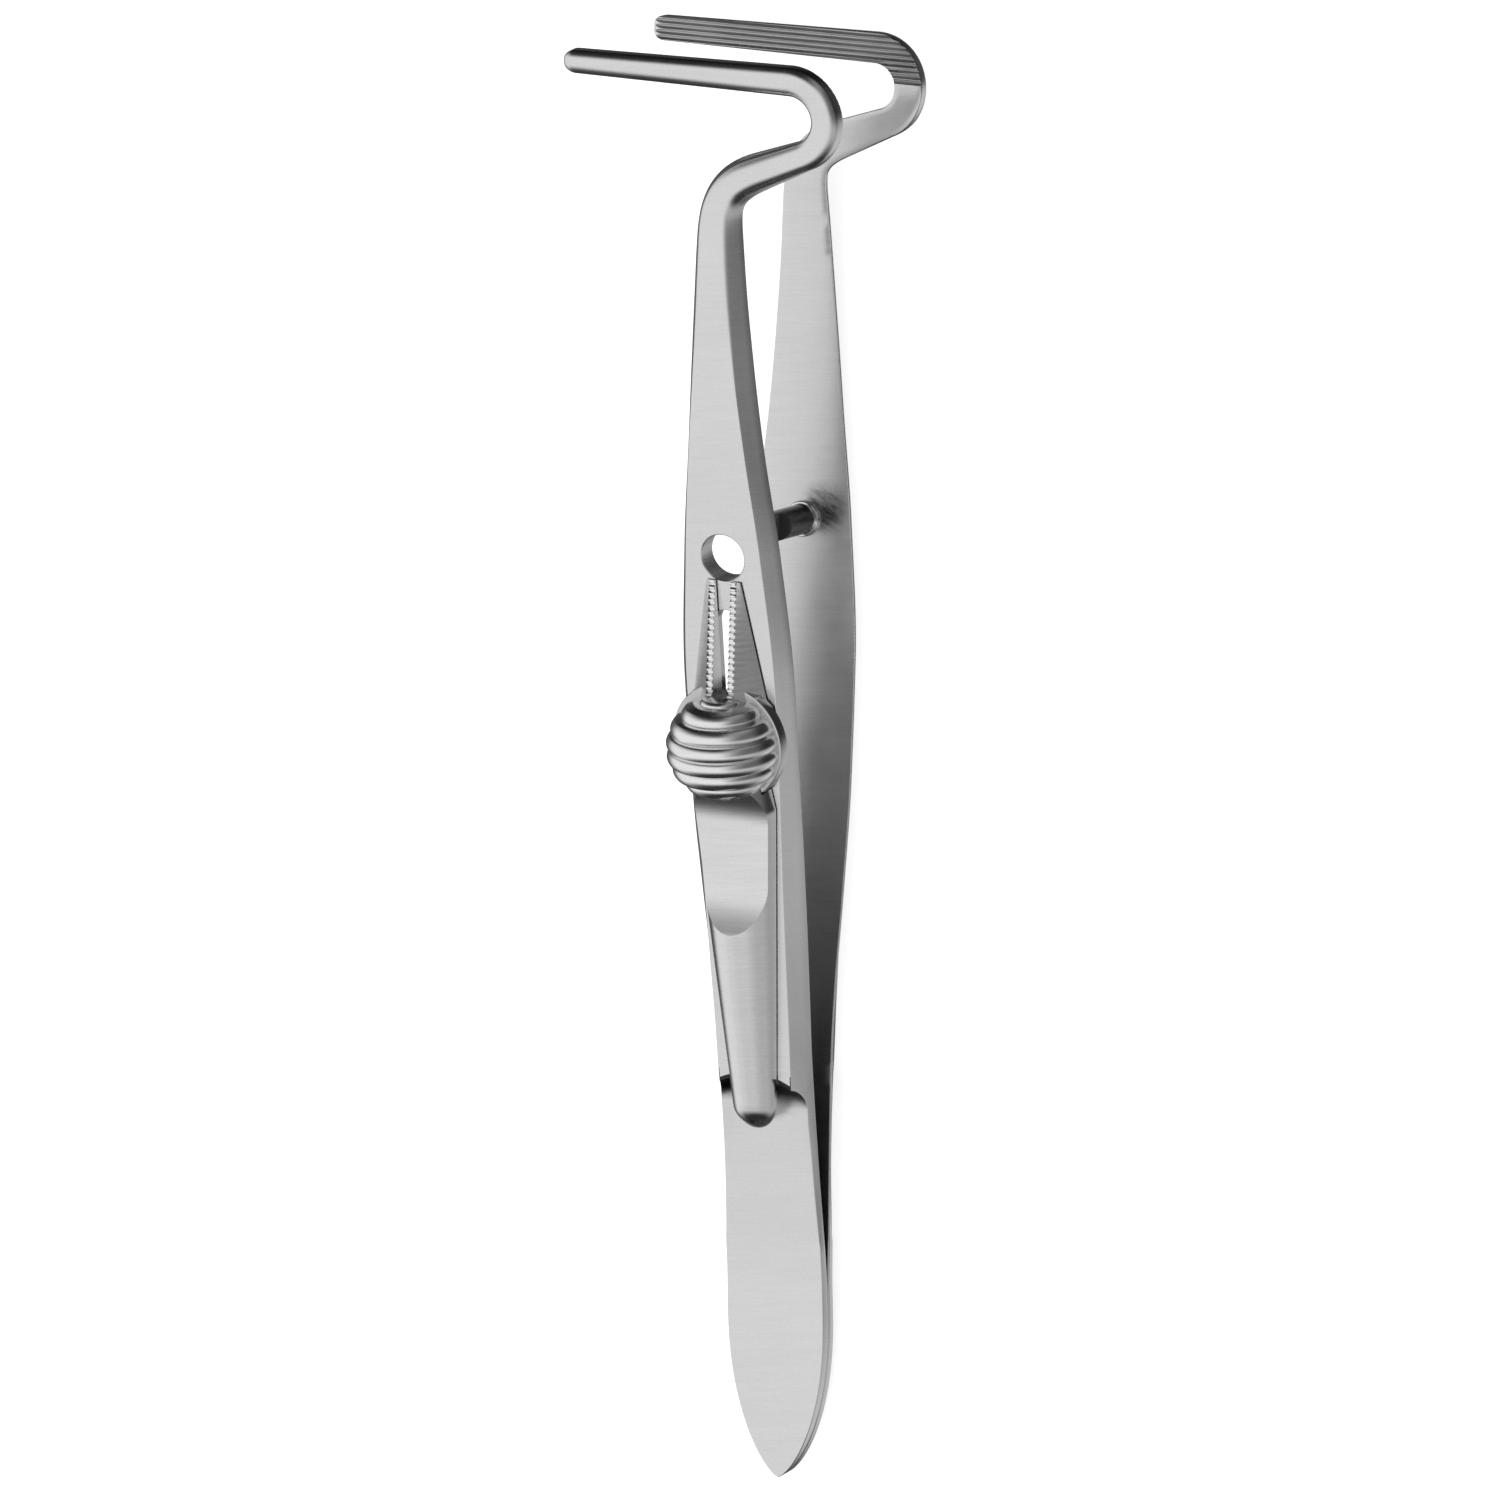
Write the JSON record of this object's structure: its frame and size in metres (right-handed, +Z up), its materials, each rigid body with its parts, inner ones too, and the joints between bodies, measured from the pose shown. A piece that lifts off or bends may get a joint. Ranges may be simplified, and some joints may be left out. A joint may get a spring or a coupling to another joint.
{
  "type": "locking muscle forceps",
  "caption": "Spring forceps with right-angled serrated jaws; a thumb slide pushes a wedge-shaped fork under a catch stud to lock them shut.",
  "frame": {"origin": "centre of the bounding box's bottom face, on the table that the tool lies on", "axes": "+Y along the arms from the pointed tail to the jaws, +Z up out of the arm that carries the slide, +X away from the jaws' free ends"},
  "size_m": [0.0214, 0.105, 0.017],
  "materials": {
    "arm_steel": "satin, brushed along the arms",
    "slide_steel": "satin with polished ridges",
    "fork_steel": "ground",
    "stud_steel": "turned"
  },
  "bodies": {
    "tail": {"front_tail_blade": "arm_steel", "rear_tail_blade": "arm_steel"},
    "front_arm_body": {"front_arm": "arm_steel"},
    "rear_arm_body": {"rear_arm": "arm_steel", "catch_stud": "stud_steel"},
    "lock_slide": {"lock_fork": "fork_steel", "thumb_slide": "slide_steel", "guide_block": "fork_steel", "keeper_plate": "fork_steel"}
  },
  "joints": [
    {"name": "front_arm_flex", "type": "hinge", "parent": "tail", "child": "front_arm_body", "pos_m": [0.00117, -0.03457, 0.00233], "axis": [-1, 0, 0], "range_deg": [0, 3.85], "stiffness_Nm_per_rad": 1.5},
    {"name": "rear_arm_flex", "type": "hinge", "parent": "tail", "child": "rear_arm_body", "pos_m": [0.00117, -0.03457, 0.00233], "axis": [1, 0, 0], "range_deg": [0, 3.85], "stiffness_Nm_per_rad": 1.5},
    {"name": "lock_slide_travel", "type": "slide", "parent": "front_arm_body", "child": "lock_slide", "axis": [0, 0.9847, 0.1745], "range_m": [0, 0.0054]}
  ],
  "couplings": [
    {"joint": "rear_arm_flex", "follows": "front_arm_flex", "ratio": 1}
  ]
}
